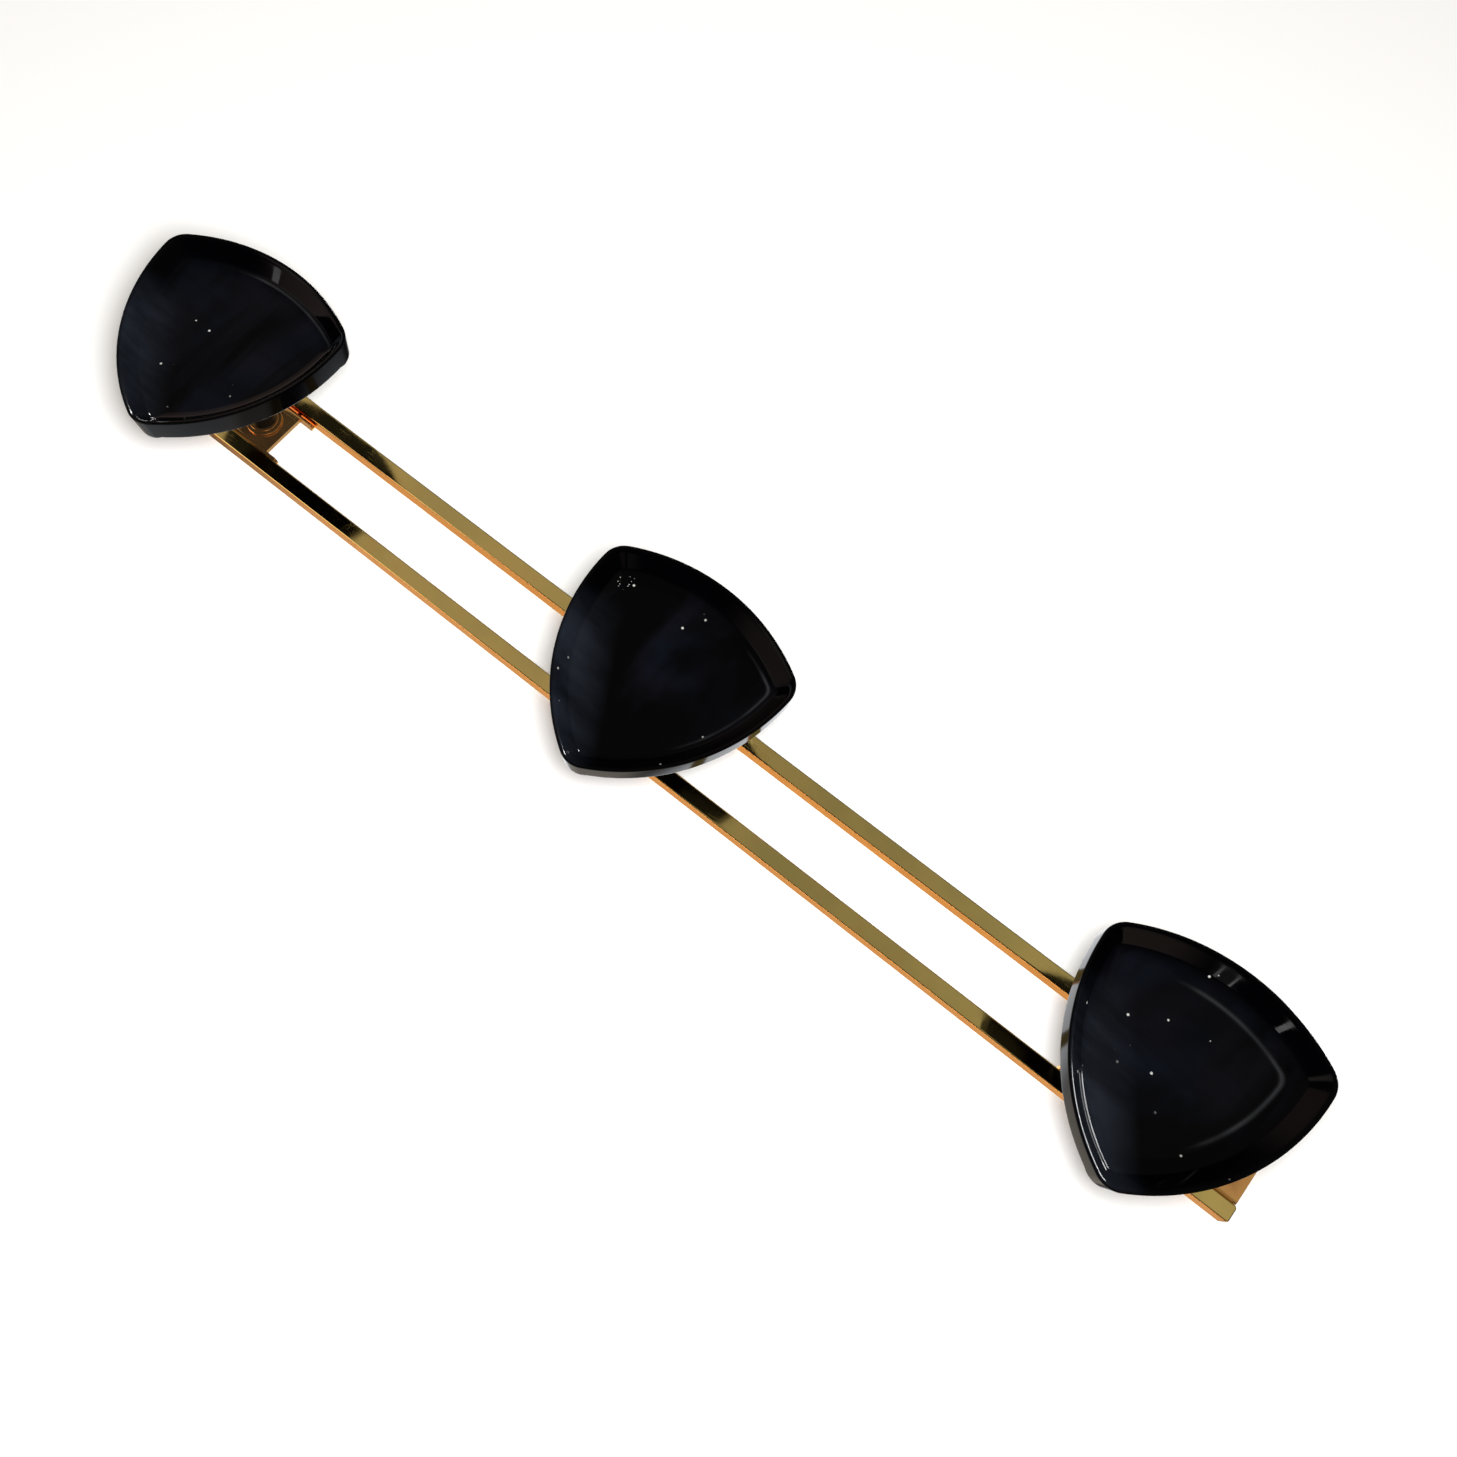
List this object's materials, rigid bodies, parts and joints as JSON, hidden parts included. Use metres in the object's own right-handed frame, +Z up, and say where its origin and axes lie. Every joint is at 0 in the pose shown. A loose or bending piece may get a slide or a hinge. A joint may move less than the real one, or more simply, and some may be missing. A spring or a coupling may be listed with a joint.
{
  "type": "wall coat rack",
  "caption": "Slim wall coat rack: polished brass-coloured square rails carry glossy black dished knobs, rounded triangles that turn on black posts.",
  "frame": {"origin": "middle of the lower rail's back face, on the wall", "axes": "+X along the rails to the right as seen from the front, +Y into the wall, +Z up"},
  "size_m": [0.635, 0.0709, 0.0998],
  "materials": {
    "polished_brass": "polished, lightly scratched",
    "black_gloss": "glossy, faint wipe marks and dust",
    "black_lacquer": "semi-gloss lacquer",
    "zinc_steel": "zinc plated"
  },
  "bodies": {
    "rack": {"rail_lower": "polished_brass", "rail_upper": "polished_brass", "bracket_left": "polished_brass", "bracket_middle": "polished_brass", "bracket_right": "polished_brass", "rivet_left_1": "polished_brass", "rivet_left_2": "polished_brass", "rivet_left_3": "polished_brass", "rivet_left_4": "polished_brass", "rivet_middle_1": "polished_brass", "rivet_middle_2": "polished_brass", "rivet_middle_3": "polished_brass", "rivet_middle_4": "polished_brass", "rivet_right_1": "polished_brass", "rivet_right_2": "polished_brass", "rivet_right_3": "polished_brass", "rivet_right_4": "polished_brass", "stem_left": "black_lacquer", "base_washer_left": "polished_brass", "bolt_left": "zinc_steel", "back_washer_left": "zinc_steel", "stem_middle": "black_lacquer", "base_washer_middle": "polished_brass", "bolt_middle": "zinc_steel", "back_washer_middle": "zinc_steel", "stem_right": "black_lacquer", "base_washer_right": "polished_brass", "bolt_right": "zinc_steel", "back_washer_right": "zinc_steel"},
    "knob_body_left": {"knob_left": "black_gloss", "insert_left": "polished_brass"},
    "knob_body_middle": {"knob_middle": "black_gloss", "insert_middle": "polished_brass"},
    "knob_body_right": {"knob_right": "black_gloss", "insert_right": "polished_brass"}
  },
  "joints": [
    {"name": "knob_turn_left", "type": "hinge", "parent": "rack", "child": "knob_body_left", "pos_m": [-0.25, -0.0555, 0.01826], "axis": [0, -1, 0], "continuous": true},
    {"name": "knob_turn_middle", "type": "hinge", "parent": "rack", "child": "knob_body_middle", "pos_m": [0, -0.0555, 0.01826], "axis": [0, -1, 0], "continuous": true},
    {"name": "knob_turn_right", "type": "hinge", "parent": "rack", "child": "knob_body_right", "pos_m": [0.25, -0.0555, 0.01826], "axis": [0, -1, 0], "continuous": true}
  ]
}
